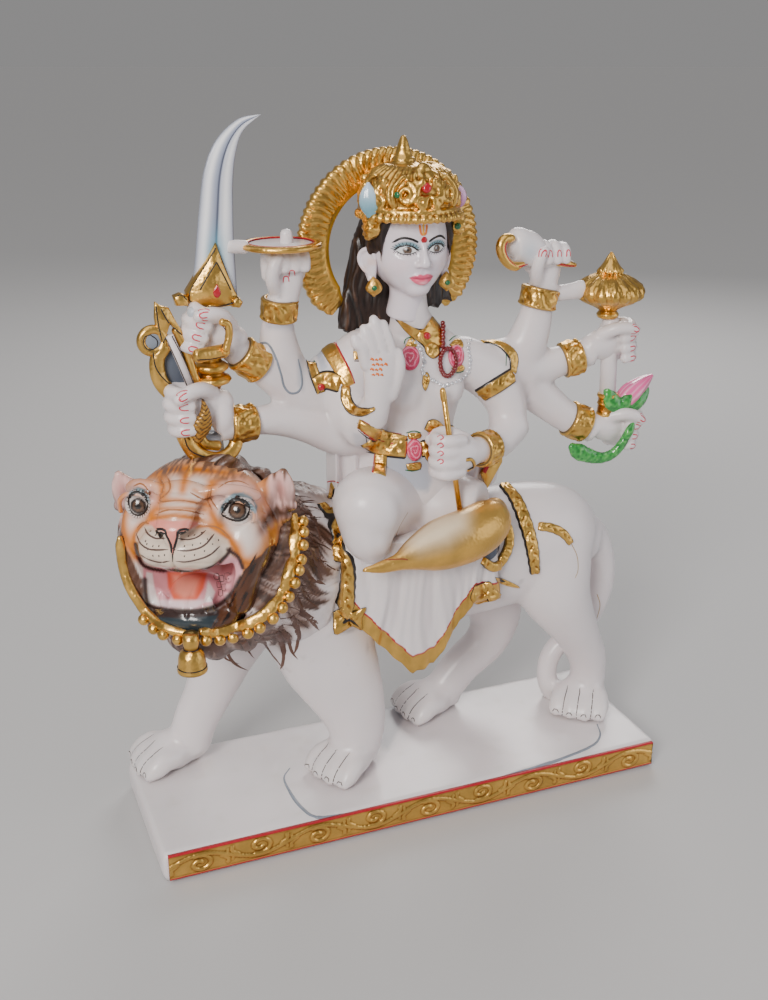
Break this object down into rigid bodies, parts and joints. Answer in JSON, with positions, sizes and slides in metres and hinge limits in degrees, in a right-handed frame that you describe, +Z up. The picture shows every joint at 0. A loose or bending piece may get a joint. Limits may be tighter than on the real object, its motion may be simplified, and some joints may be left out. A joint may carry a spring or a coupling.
{
  "type": "durga figure",
  "caption": "Painted marble statue of a many-armed goddess seated across a walking lion, holding emblems before an open halo, on a low oblong plinth with a scrolled gilt band.",
  "frame": {"origin": "middle of the plinth's flat underside, on the surface that the statue stands on", "axes": "+Z up, +X along the plinth towards the lion's tail, -Y out of the statue's front, where the scrolled band is"},
  "size_m": [0.4221, 0.1549, 0.505],
  "materials": {
    "marble": "polished white marble, painted and gilded in places"
  },
  "bodies": {
    "root": {"durga_statue": "marble"}
  },
  "joints": []
}
